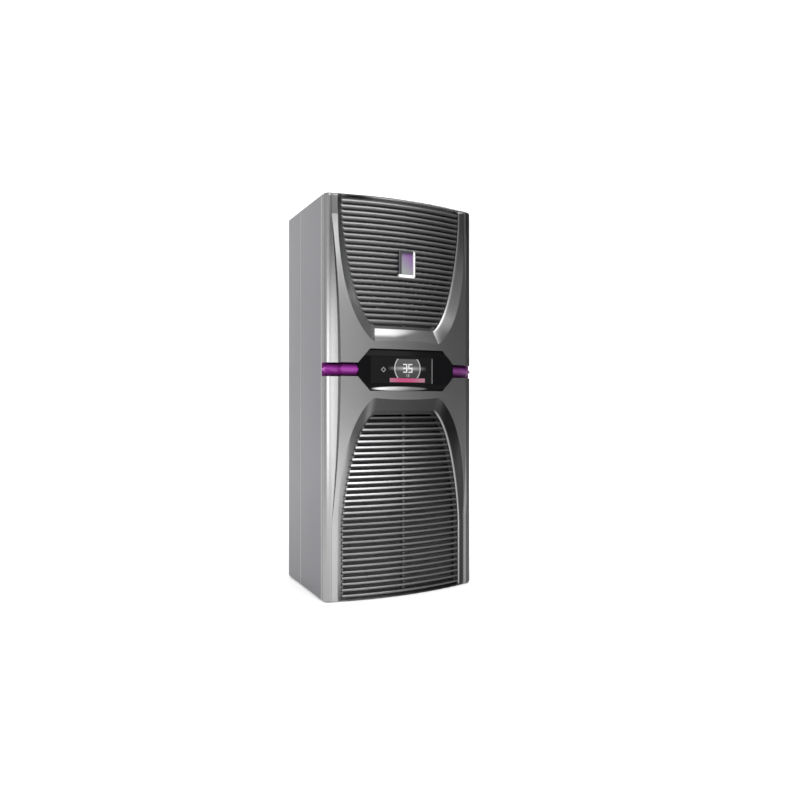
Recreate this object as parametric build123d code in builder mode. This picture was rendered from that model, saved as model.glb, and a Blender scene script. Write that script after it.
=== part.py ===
from build123d import *
import math
import os

os.makedirs("parts", exist_ok=True)

# Wall-mounted cooling unit for a control cabinet, in millimetres.
# X runs to the right as seen from the front, Z runs up, and the mounting face looks along +Y.
# A station is a distance ahead of the middle of the depth, so its Y is the station with a minus sign.

# Overall size
width = 400.0
height = 950.0
depth = 310.0
half_width = width / 2
mount_station = -depth / 2
front_station = depth / 2
overrun = 60.0

# Where the housing parts meet along the depth
fascia_depth = 53.0
rear_depth = 103.0
fascia_seam_station = front_station - fascia_depth
hood_seam_station = mount_station + rear_depth
gasket_thickness = 4.0
back_plate_station = mount_station + gasket_thickness
edge_radius = 7.0
seam_chamfer = 1.2
sheet = 2.0
inner_half_width = half_width - sheet
inner_radius = edge_radius - sheet

# Front cover: a bowed base and a proud hourglass panel
cheek_setback = 37.0
cheek_station = front_station - cheek_setback
bow_rise = 29.0
bow_radius = (half_width**2 + bow_rise**2) / (2 * bow_rise)
bow_axis_y = bow_radius - cheek_station - bow_rise
corner_radius = 16.0
cover_skin = 7.0
cover_side_wall = 5.0
waist_height_share = 0.5684
waist_height = height * waist_height_share
waist_half_share = 0.8415
waist_half_width = half_width * waist_half_share
flare_half_share = 0.92
flare_half_width = half_width * flare_half_share
flare_reach_share = 0.379
flare_reach = height * flare_reach_share
panel_mid_rise = 5.5
panel_edge_rise = 17.0
panel_end_share = 0.05
panel_section_shares = (-1.0, -0.8, -0.5, 0.0, 0.5, 0.8, 1.0)

# Grille openings, measured away from the waist line. The edge on each side is one smooth curve.
# Each row is a control point of it: its half width as a share of half the width, its distance as
# a share of the height, and the sideways and endways shares of its move when the outline is set
# in or flared out.
slat_setback = 8.0
slat_radius = bow_radius - slat_setback
opening_start_share = 0.1032
opening_start = height * opening_start_share
opening_shares = (
    (0.386, opening_start_share, 0.3, 1.0),
    (0.4255, opening_start_share, 0.35, 1.0),
    (0.5745, 0.1412, 0.75, 0.6),
    (0.6485, 0.1646, 0.9, 0.45),
    (0.795, 0.3177, 1.0, 0.05),
    (0.795, 0.4053, 1.0, 0.0),
)
flank_slope = 1.7
scoop_slope = 2.1
rim_slope = 0.35
flare_depth = 45.0
top_rim = 6.0
bottom_rim = 4.5
upper_reach = height - waist_height - top_rim
lower_reach = waist_height - bottom_rim
cavity_setback = 42.0
cavity_back_station = fascia_seam_station - cavity_setback
cover_return = 3.0
cross_rib = 26.0

# Louvre slats
slat_depth = 11.0
slat_drop = 7.5
slat_nose = 4.0
slat_wall = 2.6
slat_end_gap = 2.5
upper_slat_count = 23
upper_slat_low_gap = 8.0
upper_slat_high_gap = 5.7
upper_slat_span = upper_reach - opening_start - upper_slat_low_gap - upper_slat_high_gap
upper_slat_pitch = upper_slat_span / (upper_slat_count - 1)
upper_slat_first = waist_height + opening_start + upper_slat_low_gap
lower_slat_count = 31
lower_slat_low_gap = 8.9
lower_slat_high_gap = 13.1
lower_slat_span = lower_reach - opening_start - lower_slat_low_gap - lower_slat_high_gap
lower_slat_pitch = lower_slat_span / (lower_slat_count - 1)
lower_slat_first = bottom_rim + lower_slat_low_gap
grille_border = 8.0
grille_fit = 0.3
grille_border_setback = 9.0
grille_back_gap = 2.0
grille_back_station = fascia_seam_station + grille_back_gap
rib_width = 5.0
rib_setback = 10.0
rib_depth = 9.0

# Accent band in its groove
band_half_height = 13.0
band_rise = 12.0
band_proud = 2.0
groove_depth = 10.0
groove_half_height = 16.0
groove_end_wall = 2.5
band_inner_share = 0.59
band_inner_x = half_width * band_inner_share

# Display at the waist
display_half_height = 49.5
display_top_share = 0.4875
display_half_top = half_width * display_top_share
display_tip_share = 0.635
display_half_tip = half_width * display_tip_share
display_tip_half_height = 16.0
display_thickness = 23.0
display_back_station = front_station - display_thickness
display_bevel_height = 16.5
display_bevel_drop = 7.0
display_bow_radius = 1500.0
glass_thickness = 2.0
glass_left_share = -0.485
glass_right_share = 0.335
glass_left_x = half_width * glass_left_share
glass_right_x = half_width * glass_right_share
glass_width = glass_right_x - glass_left_x
glass_middle_x = (glass_left_x + glass_right_x) / 2
glass_half_height = 32.0

# Badge on the upper slats
badge_width = 44.0
badge_height = 64.0
badge_frame = 6.0
badge_thickness = 8.0
badge_x = 2.0
badge_top_gap = 155.0
badge_z = height - badge_top_gap
badge_bevel = 2.5
badge_plate_thickness = 3.0
badge_corner = 4.0

# Machine inside, seen through the grilles and the back openings
fan_top_gap = 150.0
fan_height = height - fan_top_gap
fan_bore_radius = 122.0
fan_clearance = 4.0
fan_plate_setback = 36.0
fan_plate_station = fascia_seam_station - fan_plate_setback
fan_plate_reach = 160.0
fan_plate_low = fan_height - fan_plate_reach
fan_collar_depth = 26.0
fan_collar_wall = 2.5
hub_radius = 45.0
motor_radius = 34.0
blade_count = 7
blade_thickness = 3.0
blade_width = 46.0
blade_tilt = 32.0
guard_wire = 3.0
guard_ring_radii = (48.0, 66.0, 84.0, 102.0, 120.0)
intake_ring_radii = (34.0, 50.0, 66.0, 82.0, 96.5)
arm_width = 14.0
arm_thickness = 4.0
condenser_setback = 60.0
condenser_station = fascia_seam_station - condenser_setback
condenser_depth = 46.0
condenser_side_gap = 24.0
condenser_half_width = half_width - condenser_side_gap
condenser_low = 8.0
condenser_share = 0.434
condenser_height = height * condenser_share
coil_plate = 3.0

# Back face
outlet_side_gap = 50.0
outlet_half_width = half_width - outlet_side_gap
outlet_low = 90.0
outlet_height = 200.0
outlet_bar_count = 9
outlet_bar = 4.0
outlet_frame = 8.0
outlet_bar_pitch = (outlet_height - 2 * outlet_frame) / outlet_bar_count
evaporator_side_gap = 30.0
evaporator_margin = 20.0
evaporator_setback = 19.0
evaporator_station = mount_station + evaporator_setback
evaporator_depth = 44.0
evaporator_low = outlet_low - evaporator_margin
evaporator_half_width = half_width - evaporator_side_gap
evaporator_height = outlet_height + 2 * evaporator_margin
inlet_top_gap = 170.0
inlet_height = height - inlet_top_gap
inlet_radius = 98.0
inlet_fan_radius = inlet_radius - fan_clearance
inlet_shroud_depth = 44.0
gasket_width = 18.0
gasket_inset = 3.0
bush_side_gap = 32.0
bush_x = half_width - bush_side_gap
bush_end_gap = 45.0
bush_heights = (bush_end_gap, height / 2, height - bush_end_gap)
bush_radius = 7.0
bush_hole_radius = 2.5
bush_length = 24.0
terminal_side_gap = 80.0
terminal_x = terminal_side_gap - half_width
terminal_share = 0.4526
terminal_z = height * terminal_share
terminal_width = 90.0
terminal_height = 110.0
terminal_depth = 3.0
lift_side_gap = 50.0
lift_x = half_width - lift_side_gap
lift_radius = 9.0
lift_hole_radius = 4.0
lift_length = 18.0
drain_side_gap = 70.0
drain_x = half_width - drain_side_gap
drain_back_gap = 45.0
drain_station = mount_station + drain_back_gap
drain_radius = 10.0
drain_hole_radius = 6.0
drain_length = 16.0


def keep(solid, name):
    """Label a finished piece and write its STEP file."""
    solid.label = name
    export_step(solid, f"parts/{name}.step")
    print(name, round(solid.volume / 1000, 1), "cm3", len(solid.solids()), "solid")


def bow_station(x, radius=bow_radius):
    """Station of a bowed surface of this radius about the bow axis."""
    return math.sqrt(radius**2 - x**2) - bow_axis_y


def bowed_plan(half, mid_station, side_station, corner=0, back_station=fascia_seam_station):
    """Plan outline with an arc across the front and a straight back."""
    back = -back_station
    with BuildSketch() as plan:
        with BuildLine():
            ThreePointArc((-half, -side_station), (0, -mid_station), (half, -side_station))
            Polyline((half, -side_station), (half, back), (-half, back), (-half, -side_station))
        make_face()
        if corner:
            fillet(plan.vertices().sort_by(Axis.Y)[:2], corner)
    return plan.sketch


def panel_plan(reach_share):
    """Plan outline of the panel at this share of its flare's reach from the waist."""
    rise = 1 - (1 - panel_end_share) * reach_share**2
    half = waist_half_width + (flare_half_width - waist_half_width) * (1 - rise)
    mid = cheek_station + bow_rise + panel_mid_rise * rise
    return bowed_plan(half, mid, bow_station(half) + panel_edge_rise * rise)


def base_body():
    """The bowed base of the front cover with its rounded corners."""
    with BuildPart() as base:
        with BuildSketch(Plane.XY):
            add(bowed_plan(half_width, cheek_station + bow_rise, cheek_station, corner_radius))
        extrude(amount=height)
        rims = base.edges().filter_by(lambda e: e.bounding_box().size.Z < sheet / 2)
        rims = rims.filter_by(lambda e: e.center().Y < -fascia_seam_station - sheet / 2)
        fillet(rims, edge_radius)
        chamfer(base.faces().sort_by(Axis.Y)[-1].edges(), seam_chamfer)
    return base.part


def panel_body():
    """The hourglass panel that stands proud of the base, straight from its flares to the ends."""
    with BuildPart() as panel:
        for reach_share in panel_section_shares:
            with BuildSketch(Plane.XY.offset(waist_height + reach_share * flare_reach)):
                add(panel_plan(reach_share))
        loft()
        for direction, reach in ((1, height - waist_height), (-1, waist_height)):
            with BuildSketch(Plane.XY.offset(waist_height + direction * flare_reach)):
                add(panel_plan(1))
            extrude(amount=direction * (reach - flare_reach - edge_radius))
    return panel.part


def opening_outline(direction, reach, inset=0, station=None):
    """Closed outline of a grille opening, set in by a margin or flared out at a station ahead."""
    points = []
    for half_share, distance_share, sideways, endways in opening_shares:
        half = half_width * half_share
        distance = height * distance_share
        if station is not None:
            ahead = station - bow_station(half, slat_radius)
            half += ahead * flank_slope * sideways
            distance -= ahead * scoop_slope * endways
        half -= inset * sideways
        distance += inset * endways
        points.append((half, waist_height + direction * distance))
    mirrored = [(-x, z) for x, z in points]
    end_z = waist_height + direction * (reach - inset)
    with BuildSketch() as outline:
        with BuildLine():
            Bezier(*points)
            Polyline(points[-1], (points[-1][0], end_z), (mirrored[-1][0], end_z), mirrored[-1])
            Bezier(*mirrored)
            if station is None:
                Line(mirrored[0], points[0])
            else:
                ahead = station - bow_station(0, slat_radius)
                middle_z = waist_height + direction * (opening_start - ahead * scoop_slope)
                ThreePointArc(mirrored[0], (0, middle_z), points[0])
        make_face()
    return outline.sketch


def rim_ring(direction, reach):
    """Ring round the bow axis from the waist line to the sloping rim at the far end of an opening."""
    inner_y = bow_axis_y - slat_radius
    end = waist_height + direction * reach
    with BuildPart() as ring:
        with BuildSketch(Plane.YZ):
            with BuildLine():
                Polyline(
                    (inner_y, end),
                    (inner_y - overrun, end + direction * rim_slope * overrun),
                    (inner_y - overrun, waist_height),
                    (inner_y + overrun, waist_height),
                    (inner_y + overrun, end),
                    close=True,
                )
            make_face()
        revolve(axis=Axis((0, bow_axis_y, 0), (0, 0, 1)))
    return ring.part


def flare_body(direction, reach):
    """The space ahead of the slats: flanks, scoop and rolled corners in one sweep from the slats out."""
    with BuildPart() as flare:
        for station in (cheek_station, cheek_station + flare_depth):
            with BuildSketch(Plane.XZ.offset(station)):
                add(opening_outline(direction, reach + overrun, station=station))
        loft(ruled=True)
        add(rim_ring(direction, reach), mode=Mode.INTERSECT)
    return flare.part


def well_body(direction, reach, inset, low_station, high_station):
    """Straight prism of an opening's outline, set in by a margin."""
    with BuildPart() as well:
        with BuildSketch(Plane.XZ.offset(low_station)):
            add(opening_outline(direction, reach, inset))
        extrude(amount=high_station - low_station)
    return well.part


def waist_core(plan):
    """What stays of a plan outline inside the groove: a floor with sloping lips."""
    lip_height = groove_half_height - band_half_height
    lip_angle = math.degrees(math.atan2(groove_depth, lip_height))
    with BuildPart() as core:
        for direction in (-1, 1):
            with BuildSketch(Plane.XY.offset(waist_height)):
                add(plan)
                offset(amount=-groove_depth, mode=Mode.REPLACE)
            extrude(amount=direction * band_half_height)
            with BuildSketch(Plane.XY.offset(waist_height + direction * groove_half_height)):
                add(plan)
            extrude(amount=-direction * lip_height, taper=lip_angle)
    return core.part


def ridge_body(plan):
    """A plan outline whose rim is a sharp ridge all the way round."""
    ridge_angle = math.degrees(math.atan2(band_rise, band_half_height))
    with BuildPart() as ridge:
        for direction in (-1, 1):
            with BuildSketch(Plane.XY.offset(waist_height)):
                add(plan)
                offset(amount=band_proud, mode=Mode.REPLACE)
            extrude(amount=direction * band_half_height, taper=ridge_angle)
    return ridge.part


def floor_body(plan):
    """The inside of a plan outline up to the groove floor."""
    with BuildPart() as floor:
        with BuildSketch(Plane.XY.offset(waist_height)):
            add(plan)
            offset(amount=-groove_depth, mode=Mode.REPLACE)
        extrude(amount=band_half_height, both=True)
    return floor.part


def waist_block(side, inner_x):
    """Block on one side of the waist, ahead of the groove's end wall and outside a distance."""
    wide = half_width + overrun - inner_x
    back = fascia_seam_station + groove_end_wall
    long = front_station + overrun - back
    with BuildPart() as block:
        with Locations((side * (inner_x + wide / 2), -back - long / 2, waist_height)):
            Box(wide, long, 2 * groove_half_height)
    return block.part


def display_outline():
    """Long octagon of the display, with a blunt tip at each end."""
    quarter = [(display_half_tip, display_tip_half_height), (display_half_top, display_half_height)]
    right = [(x, -z) for x, z in reversed(quarter)] + quarter
    left = [(-x, -z) for x, z in right]
    with BuildSketch() as outline:
        with BuildLine():
            Polyline(*[(x, waist_height + z) for x, z in right + left], close=True)
        make_face()
    return outline.sketch


def crown_body(front, half_flat, half_high, drop):
    """Ring about the display's own bow axis, bevelled above and below its flat."""
    axis_y = display_bow_radius - front_station
    back_y = -display_back_station
    with BuildPart() as crown:
        with BuildSketch(Plane.YZ):
            with BuildLine():
                Polyline(
                    (-front, waist_height + half_flat),
                    (-front, waist_height - half_flat),
                    (-front + drop, waist_height - half_high),
                    (back_y, waist_height - half_high),
                    (back_y, waist_height + half_high),
                    (-front + drop, waist_height + half_high),
                    close=True,
                )
            make_face()
        revolve(axis=Axis((0, axis_y, 0), (0, 0, 1)))
    return crown.part


def shell_ring(front, back):
    """A length of the folded sheet housing, open at both ends."""
    with BuildPart() as ring:
        with BuildSketch(Plane.XZ.offset(back)):
            with Locations((0, height / 2)):
                RectangleRounded(width, height, edge_radius)
        extrude(amount=front - back)
        chamfer(ring.faces().filter_by(Axis.Y).edges(), seam_chamfer)
        with BuildSketch(Plane.XZ.offset(back)):
            with Locations((0, height / 2)):
                RectangleRounded(2 * inner_half_width, height - 2 * sheet, inner_radius)
        extrude(amount=front - back, mode=Mode.SUBTRACT)
    return ring.part


def inner_plate(back, thickness, low, high):
    """A plate that fills the housing from wall to wall between two heights."""
    with BuildPart() as plate:
        with BuildSketch(Plane.XZ.offset(back)):
            with Locations((0, height / 2)):
                RectangleRounded(2 * inner_half_width, height - 2 * sheet, inner_radius)
            with Locations((0, (low + high) / 2)):
                Rectangle(width, high - low, mode=Mode.INTERSECT)
        extrude(amount=thickness)
    return plate.part


def slat_rings(first, pitch, count):
    """Bowed louvre blades whose faces look forward and down under a thin nose."""
    front_y = bow_axis_y - slat_radius
    nose_back = slat_nose / 2
    with BuildPart() as rings:
        with BuildSketch(Plane.YZ):
            for step in range(count):
                top = first + pitch * step
                with BuildLine():
                    Polyline(
                        (front_y, top - slat_nose),
                        (front_y, top - slat_nose / 4),
                        (front_y + nose_back / 2, top),
                        (front_y + slat_depth, top - slat_drop),
                        (front_y + slat_depth, top - slat_drop - slat_wall),
                        close=True,
                    )
                make_face()
        revolve(axis=Axis((0, bow_axis_y, 0), (0, 0, 1)))
    return rings.part


def bowed_core(radius, axis_y):
    """Round column of full height about a bow axis."""
    with BuildPart() as column:
        with BuildSketch(Plane.XY):
            with Locations((0, axis_y)):
                Circle(radius)
        extrude(amount=height)
    return column.part


def grille_body(direction, reach, first, pitch, count):
    """Louvre blades in a border that drops into the cover's well."""
    with BuildPart() as border:
        add(well_body(direction, reach, grille_fit, grille_back_station, front_station))
        add(
            well_body(direction, reach, grille_border, grille_back_station, front_station),
            mode=Mode.SUBTRACT,
        )
        add(bowed_core(slat_radius - grille_border_setback, bow_axis_y), mode=Mode.INTERSECT)
    with BuildPart() as rib:
        with Locations((0, -(grille_back_station + front_station) / 2, height / 2)):
            Box(rib_width, front_station - grille_back_station, height)
        add(well_body(direction, reach, sheet, grille_back_station, front_station), mode=Mode.INTERSECT)
        add(bowed_core(slat_radius - rib_setback, bow_axis_y), mode=Mode.INTERSECT)
        add(bowed_core(slat_radius - rib_setback - rib_depth, bow_axis_y), mode=Mode.SUBTRACT)
    with BuildPart() as grille:
        add(slat_rings(first, pitch, count))
        add(
            well_body(
                direction, reach + slat_end_gap - sheet, slat_end_gap, grille_back_station, front_station
            ),
            mode=Mode.INTERSECT,
        )
        add(border.part)
        add(rib.part)
    return grille.solids().sort_by(SortBy.VOLUME)[-1]


def fan_blades(axis_z, hub, tip, low_station, high_station):
    """Flat tilted blades between a hub and a tip radius."""
    middle = (low_station + high_station) / 2
    with BuildPart() as blades:
        with Locations(Plane.XZ.offset(middle) * Location((0, axis_z, 0))):
            with PolarLocations(0, blade_count):
                with Locations(Location(((hub + tip) / 2, 0, 0), (blade_tilt, 0, 0))):
                    Box(tip - hub + 2 * sheet, blade_width, blade_thickness)
    return blades.part


def disc(axis_z, radius, low_station, high_station, x=0):
    """Plain round disc or drum across the depth."""
    with BuildPart() as drum:
        with BuildSketch(Plane.XZ.offset(low_station)):
            with Locations((x, axis_z)):
                Circle(radius)
        extrude(amount=high_station - low_station)
    return drum.part


def cross_arms(axis_z, reach, low_station, high_station):
    """Four arms that carry a fan motor from the edge of its opening."""
    with BuildPart() as arms:
        with Locations((0, -(low_station + high_station) / 2, axis_z)):
            Box(2 * reach, high_station - low_station, arm_width)
            Box(arm_width, high_station - low_station, 2 * reach)
    return arms.part


def wire_guard(axis_z, radii, low_station, high_station):
    """Concentric rings on crossing spokes in front of a fan."""
    with BuildPart() as guard:
        for radius in radii:
            with BuildSketch(Plane.XZ.offset(low_station)):
                with Locations((0, axis_z)):
                    Circle(radius + guard_wire / 2)
                    Circle(radius - guard_wire / 2, mode=Mode.SUBTRACT)
            extrude(amount=high_station - low_station)
        reach = 2 * radii[-1]
        with Locations((0, -(low_station + high_station) / 2, axis_z)):
            Box(reach, high_station - low_station, guard_wire)
            Box(guard_wire, high_station - low_station, reach)
    return guard.part


def fan_collar(axis_z, radius, low_station, high_station):
    """Round inlet ring that an axial fan turns in."""
    with BuildPart() as collar:
        with BuildSketch(Plane.XZ.offset(low_station)):
            with Locations((0, axis_z)):
                Circle(radius + fan_collar_wall)
                Circle(radius, mode=Mode.SUBTRACT)
        extrude(amount=high_station - low_station)
    return collar.part


def coil_body(half, low, tall, back, thick):
    """Finned coil block with end plates that reach the housing walls."""
    with BuildPart() as coil:
        with Locations((0, -back - thick / 2, low + tall / 2)):
            Box(2 * half, thick, tall)
        flange = inner_half_width - half
        for x in (-half - flange / 2, half + flange / 2):
            with Locations((x, -back - coil_plate / 2, low + tall / 2)):
                Box(flange, coil_plate, tall)
    return coil.part


# Front cover
base_waist_plan = bowed_plan(
    half_width, cheek_station + bow_rise, cheek_station, corner_radius, cavity_back_station
)
panel_waist_plan = bowed_plan(
    waist_half_width,
    cheek_station + bow_rise + panel_mid_rise,
    bow_station(waist_half_width) + panel_edge_rise,
    0,
    cavity_back_station,
)
openings = ((1, upper_reach), (-1, lower_reach))
cavity_plan = bowed_plan(
    half_width - cover_side_wall,
    cheek_station + bow_rise - cover_skin,
    cheek_station - cover_skin,
    0,
    cavity_back_station,
)

with BuildPart() as cover_cavity:
    for direction, reach in openings:
        with BuildSketch(Plane.XY.offset(waist_height + direction * cross_rib)):
            add(cavity_plan)
        extrude(amount=direction * (reach - cross_rib))
        add(
            well_body(direction, reach, -cover_return, cavity_back_station, front_station),
            mode=Mode.SUBTRACT,
        )

with BuildPart() as groove:
    for side in (-1, 1):
        add(waist_block(side, band_inner_x))
    add(waist_core(base_waist_plan), mode=Mode.SUBTRACT)
    add(waist_core(panel_waist_plan), mode=Mode.SUBTRACT)

with BuildPart() as display_block:
    with BuildSketch(Plane.XZ.offset(display_back_station)):
        add(display_outline())
    extrude(amount=front_station + overrun - display_back_station)

with BuildPart() as front_fascia:
    add(base_body())
    add(panel_body())
    add(cover_cavity.part, mode=Mode.SUBTRACT)
    add(groove.part, mode=Mode.SUBTRACT)
    add(display_block.part, mode=Mode.SUBTRACT)
    for direction, reach in openings:
        add(flare_body(direction, reach), mode=Mode.SUBTRACT)
        add(well_body(direction, reach, 0, cavity_back_station, front_station), mode=Mode.SUBTRACT)
keep(front_fascia.part, "front_fascia")

# Grilles that drop into the cover
upper_grille = grille_body(1, upper_reach, upper_slat_first, upper_slat_pitch, upper_slat_count)
keep(upper_grille, "upper_grille")
lower_grille = grille_body(-1, lower_reach, lower_slat_first, lower_slat_pitch, lower_slat_count)
keep(lower_grille, "lower_grille")

# Accent band in the groove on each side, its crest carried over the step of the panel
for name, side in (("accent_band_left", -1), ("accent_band_right", 1)):
    with BuildPart() as side_band:
        add(ridge_body(base_waist_plan))
        add(floor_body(base_waist_plan), mode=Mode.SUBTRACT)
        add(waist_block(side, waist_half_width - groove_depth), mode=Mode.INTERSECT)
    with BuildPart() as front_band:
        add(ridge_body(panel_waist_plan))
        add(floor_body(panel_waist_plan), mode=Mode.SUBTRACT)
        add(floor_body(base_waist_plan), mode=Mode.SUBTRACT)
        add(waist_block(side, band_inner_x), mode=Mode.INTERSECT)
        add(display_block.part, mode=Mode.SUBTRACT)
    with BuildPart() as band:
        add(side_band.part)
        add(front_band.part)
    keep(band.part, name)

# Display
display_half_flat = display_half_height - display_bevel_height
crown = crown_body(front_station, display_half_flat, display_half_height, display_bevel_drop)
with BuildPart() as glass_space:
    with Locations((glass_middle_x, -front_station, waist_height)):
        Box(glass_width, overrun, 2 * glass_half_height)
    add(
        bowed_core(display_bow_radius - glass_thickness, display_bow_radius - front_station),
        mode=Mode.SUBTRACT,
    )
with BuildPart() as display_glass:
    add(display_block.part)
    add(crown, mode=Mode.INTERSECT)
    add(glass_space.part, mode=Mode.INTERSECT)
keep(display_glass.part, "display_glass")
with BuildPart() as display_housing:
    add(display_block.part)
    add(crown, mode=Mode.INTERSECT)
    add(display_glass.part, mode=Mode.SUBTRACT)
keep(display_housing.part, "display_housing")

# Badge on the upper slats, its face bare
badge_back = bow_station(0, slat_radius)
face_width = badge_width - 2 * badge_frame
face_height = badge_height - 2 * badge_frame
with BuildPart() as badge_ring:
    with BuildSketch(Plane.XZ.offset(badge_back)):
        with Locations((badge_x, badge_z)):
            RectangleRounded(badge_width, badge_height, badge_corner)
    extrude(amount=badge_thickness)
    rim = badge_ring.faces().sort_by(Axis.Y)[0]
    chamfer(rim.edges(), badge_bevel)
    with BuildSketch(Plane.XZ.offset(badge_back)):
        with Locations((badge_x, badge_z)):
            RectangleRounded(face_width, face_height, badge_corner / 2)
    extrude(amount=badge_thickness, mode=Mode.SUBTRACT)
keep(badge_ring.part, "badge_frame")
with BuildPart() as badge_plate:
    with BuildSketch(Plane.XZ.offset(badge_back)):
        with Locations((badge_x, badge_z)):
            RectangleRounded(face_width, face_height, badge_corner / 2)
    extrude(amount=badge_plate_thickness)
keep(badge_plate.part, "badge_plate")

# Sheet housing
with BuildPart() as hood:
    add(shell_ring(fascia_seam_station, hood_seam_station))
    with BuildSketch(Plane.XY.offset(height - sheet)):
        with Locations((-lift_x, 0), (lift_x, 0)):
            Circle(lift_radius)
    extrude(amount=sheet, mode=Mode.SUBTRACT)
keep(hood.part, "hood")

with BuildPart() as rear_housing:
    add(shell_ring(hood_seam_station, back_plate_station))
    with Locations((drain_x, -drain_station, 0)):
        Cylinder(drain_radius, 2 * sheet, mode=Mode.SUBTRACT)
keep(rear_housing.part, "rear_housing")

with BuildPart() as back_plate:
    add(inner_plate(back_plate_station, sheet, sheet, height - sheet))
    with BuildSketch(Plane.XZ.offset(back_plate_station)):
        with Locations((0, outlet_low + outlet_height / 2)):
            Rectangle(2 * outlet_half_width, outlet_height)
        with Locations((0, inlet_height)):
            Circle(inlet_radius)
        with Locations(*[(x, z) for x in (-bush_x, bush_x) for z in bush_heights]):
            Circle(bush_radius)
    extrude(amount=sheet, mode=Mode.SUBTRACT)
keep(back_plate.part, "back_plate")

with BuildPart() as rear_gasket:
    with BuildSketch(Plane.XZ.offset(mount_station)):
        with Locations((0, height / 2)):
            RectangleRounded(width - 2 * gasket_inset, height - 2 * gasket_inset, edge_radius - gasket_inset)
            inner_edge = gasket_inset + gasket_width
            RectangleRounded(
                width - 2 * inner_edge, height - 2 * inner_edge, edge_radius, mode=Mode.SUBTRACT
            )
    extrude(amount=gasket_thickness)
keep(rear_gasket.part, "rear_gasket")

partition = inner_plate(hood_seam_station, sheet, sheet, height - sheet)
keep(partition, "partition_plate")

# Outer air circuit behind the front grilles
with BuildPart() as fan_plate:
    add(inner_plate(fan_plate_station, sheet, fan_plate_low, height - sheet))
    plate_front = fan_plate_station + sheet
    add(disc(fan_height, fan_bore_radius, fan_plate_station, plate_front), mode=Mode.SUBTRACT)
    collar_front = fan_plate_station + fan_collar_depth
    add(fan_collar(fan_height, fan_bore_radius, fan_plate_station, collar_front))
keep(fan_plate.part, "exhaust_fan_plate")

with BuildPart() as fan_mount:
    arm_back = fan_plate_station - arm_thickness
    add(cross_arms(fan_height, fan_bore_radius + arm_width, arm_back, fan_plate_station))
    add(disc(fan_height, motor_radius, arm_back, fan_plate_station + arm_thickness))
keep(fan_mount.part, "exhaust_fan_mount")

hub_back = fan_plate_station + arm_thickness
hub_front = fan_plate_station + fan_collar_depth - fan_clearance
with BuildPart() as fan:
    add(disc(fan_height, hub_radius, hub_back, hub_front))
    add(fan_blades(fan_height, hub_radius, fan_bore_radius - fan_clearance, hub_back, hub_front))
    add(disc(fan_height, fan_bore_radius - fan_clearance, hub_back, hub_front), mode=Mode.INTERSECT)
keep(fan.part, "exhaust_fan")

guard_back = fan_plate_station + fan_collar_depth
guard = wire_guard(fan_height, guard_ring_radii, guard_back, guard_back + guard_wire)
keep(guard, "exhaust_fan_guard")

condenser = coil_body(
    condenser_half_width, condenser_low, condenser_height, condenser_station, condenser_depth
)
keep(condenser, "condenser_coil")

# Cabinet air circuit behind the back openings
evaporator = coil_body(
    evaporator_half_width, evaporator_low, evaporator_height, evaporator_station, evaporator_depth
)
keep(evaporator, "evaporator_coil")

with BuildPart() as outlet_grille:
    with BuildSketch(Plane.XZ.offset(back_plate_station)):
        with Locations((0, outlet_low + outlet_height / 2)):
            Rectangle(2 * outlet_half_width, outlet_height)
            Rectangle(
                2 * (outlet_half_width - outlet_frame), outlet_height - 2 * outlet_frame, mode=Mode.SUBTRACT
            )
    extrude(amount=outlet_frame)
    bar_y = -back_plate_station - outlet_frame / 2
    with Locations((0, bar_y, outlet_low + outlet_height / 2)):
        Box(2 * outlet_bar, outlet_frame, outlet_height - outlet_frame)
    for step in range(1, outlet_bar_count):
        with Locations((0, bar_y, outlet_low + outlet_frame + step * outlet_bar_pitch)):
            Box(2 * outlet_half_width - outlet_frame, outlet_frame, outlet_bar)
keep(outlet_grille.part, "air_outlet_grille")

inlet_front = back_plate_station + sheet + inlet_shroud_depth
with BuildPart() as inlet_shroud:
    add(fan_collar(inlet_height, inlet_radius, back_plate_station + sheet, inlet_front))
    add(cross_arms(inlet_height, inlet_radius + fan_collar_wall, inlet_front - arm_thickness, inlet_front))
    add(disc(inlet_height, motor_radius, inlet_front - arm_thickness, inlet_front))
    round_limit = disc(inlet_height, inlet_radius + fan_collar_wall, back_plate_station, inlet_front)
    add(round_limit, mode=Mode.INTERSECT)
keep(inlet_shroud.part, "intake_fan_shroud")

intake_back = back_plate_station + sheet + fan_clearance
intake_front = inlet_front - arm_thickness
with BuildPart() as intake_fan:
    add(disc(inlet_height, motor_radius, intake_back, intake_front))
    add(fan_blades(inlet_height, motor_radius, inlet_fan_radius, intake_back, intake_front))
    add(disc(inlet_height, inlet_fan_radius, intake_back, intake_front), mode=Mode.INTERSECT)
keep(intake_fan.part, "intake_fan")

intake_guard = wire_guard(inlet_height, intake_ring_radii, back_plate_station, back_plate_station + sheet)
keep(intake_guard, "intake_fan_guard")

# Fixings and connections
with BuildPart() as bushes:
    with BuildSketch(Plane.XZ.offset(back_plate_station)):
        with Locations(*[(x, z) for x in (-bush_x, bush_x) for z in bush_heights]):
            Circle(bush_radius)
            Circle(bush_hole_radius, mode=Mode.SUBTRACT)
    extrude(amount=bush_length)
keep(bushes.part, "mounting_bushes")

with BuildPart() as lifting:
    with BuildSketch(Plane.XY.offset(height - lift_length)):
        with Locations((-lift_x, 0), (lift_x, 0)):
            Circle(lift_radius)
            Circle(lift_hole_radius, mode=Mode.SUBTRACT)
    extrude(amount=lift_length)
keep(lifting.part, "lifting_bushes")

with BuildPart() as drain:
    with BuildSketch(Plane.XY):
        with Locations((drain_x, -drain_station)):
            Circle(drain_radius)
            Circle(drain_hole_radius, mode=Mode.SUBTRACT)
    extrude(amount=drain_length)
keep(drain.part, "drain_socket")

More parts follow.
